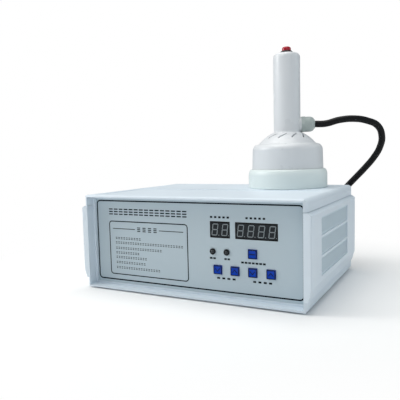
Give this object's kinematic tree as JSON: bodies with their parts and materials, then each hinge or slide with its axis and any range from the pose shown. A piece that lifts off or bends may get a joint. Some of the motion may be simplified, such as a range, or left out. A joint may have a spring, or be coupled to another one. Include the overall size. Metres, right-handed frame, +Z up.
{
  "type": "induction cap sealer",
  "caption": "Bench induction cap sealer: low vented control case with front displays and keys, and a white hand-held sealing head with a top trigger standing on its lid, joined by a cable.",
  "frame": {"origin": "on the table under the middle of the case", "axes": "+Z up, front panel faces -Y, +X to the right seen from the front"},
  "size_m": [0.3399, 0.3561, 0.3114],
  "materials": {
    "case_white": "moulded, fine satin grain",
    "vent_grey": "moulded, satin",
    "foot_rubber": "moulded",
    "plated_steel": "zinc plated",
    "panel_metal": "satin paint",
    "panel_film": "fine velvet film",
    "board_green": "solder mask",
    "spacer_brass": "turned",
    "display_black": "moulded, satin face",
    "segment_grey": "unlit resin",
    "black_plastic": "moulded",
    "lamp_clear": "epoxy lens",
    "key_blue": "moulded",
    "sink_aluminium": "extruded",
    "capacitor_blue": "shrink sleeve",
    "capacitor_red": "dipped epoxy",
    "winding_copper": "enamelled copper wire",
    "core_ferrite": "sintered",
    "head_white": "moulded, semi gloss",
    "cup_white": "moulded, semi gloss",
    "former_cream": "glass filled",
    "trigger_red": "moulded",
    "gland_grey": "moulded nylon",
    "cable_black": "extruded sheath"
  },
  "bodies": {
    "machine": {"bottom_shell": "case_white", "top_cover": "case_white", "side_panel_left": "case_white", "side_panel_right": "case_white", "vent_grille_left": "vent_grey", "vent_grille_right": "vent_grey", "rubber_feet": "foot_rubber", "case_screws": "plated_steel", "front_panel": "panel_metal", "panel_overlay": "panel_film", "rear_panel": "panel_metal", "display_board": "board_green", "board_spacers": "spacer_brass", "board_screws": "plated_steel", "display_two_digit": "display_black", "display_four_digit": "display_black", "digit_segments": "segment_grey", "lamp_holders": "black_plastic", "indicator_lamps": "lamp_clear", "key_switches": "black_plastic", "power_board": "board_green", "heat_sink": "sink_aluminium", "power_transistors": "black_plastic", "bridge_rectifier": "black_plastic", "smoothing_capacitors": "capacitor_blue", "film_capacitor": "capacitor_red", "choke": "winding_copper", "drive_transformer": "core_ferrite", "fan_frame": "black_plastic", "fan_guard": "plated_steel", "fan_screws": "plated_steel", "mains_inlet": "black_plastic", "inlet_pins": "plated_steel", "rocker_frame": "black_plastic", "head_housing": "head_white", "base_cup": "cup_white", "coil_former": "former_cream", "work_coil": "winding_copper", "ferrite_bars": "core_ferrite", "coil_clamp": "former_cream", "coil_screw": "spacer_brass", "trigger_bezel": "black_plastic", "trigger_switch": "black_plastic", "head_gland_body": "gland_grey", "head_gland_nut": "gland_grey", "rear_gland_body": "gland_grey", "rear_gland_nut": "gland_grey", "rear_gland_locknut": "gland_grey", "head_cable": "cable_black", "cable_coil": "cable_black", "cable_tail": "cable_black", "cable_tie": "black_plastic"},
    "trigger": {"trigger_button": "trigger_red"},
    "reset_key": {"key_reset": "key_blue"},
    "time_down_key": {"key_time_down": "key_blue"},
    "time_up_key": {"key_time_up": "key_blue"},
    "power_down_key": {"key_power_down": "key_blue"},
    "power_up_key": {"key_power_up": "key_blue"},
    "fan": {"fan_rotor": "black_plastic"},
    "rocker": {"rocker_paddle": "black_plastic"}
  },
  "joints": [
    {"name": "trigger_press", "type": "slide", "parent": "machine", "child": "trigger", "axis": [0, 0, -1], "range_m": [0, 0.0025], "stiffness_N_per_m": 600, "springref_m": -0.001},
    {"name": "reset_press", "type": "slide", "parent": "machine", "child": "reset_key", "axis": [0, 1, 0], "range_m": [0, 0.0005], "stiffness_N_per_m": 1500, "springref_m": -0.0002},
    {"name": "time_down_press", "type": "slide", "parent": "machine", "child": "time_down_key", "axis": [0, 1, 0], "range_m": [0, 0.0005], "stiffness_N_per_m": 1500, "springref_m": -0.0002},
    {"name": "time_up_press", "type": "slide", "parent": "machine", "child": "time_up_key", "axis": [0, 1, 0], "range_m": [0, 0.0005], "stiffness_N_per_m": 1500, "springref_m": -0.0002},
    {"name": "power_down_press", "type": "slide", "parent": "machine", "child": "power_down_key", "axis": [0, 1, 0], "range_m": [0, 0.0005], "stiffness_N_per_m": 1500, "springref_m": -0.0002},
    {"name": "power_up_press", "type": "slide", "parent": "machine", "child": "power_up_key", "axis": [0, 1, 0], "range_m": [0, 0.0005], "stiffness_N_per_m": 1500, "springref_m": -0.0002},
    {"name": "fan_spin", "type": "hinge", "parent": "machine", "child": "fan", "pos_m": [-0.072, 0.0922, 0.061], "axis": [0, 1, 0], "continuous": true},
    {"name": "rocker_tilt", "type": "hinge", "parent": "machine", "child": "rocker", "pos_m": [0.022, 0.1075, 0.081], "axis": [1, 0, 0], "range_deg": [-16, 0]}
  ]
}
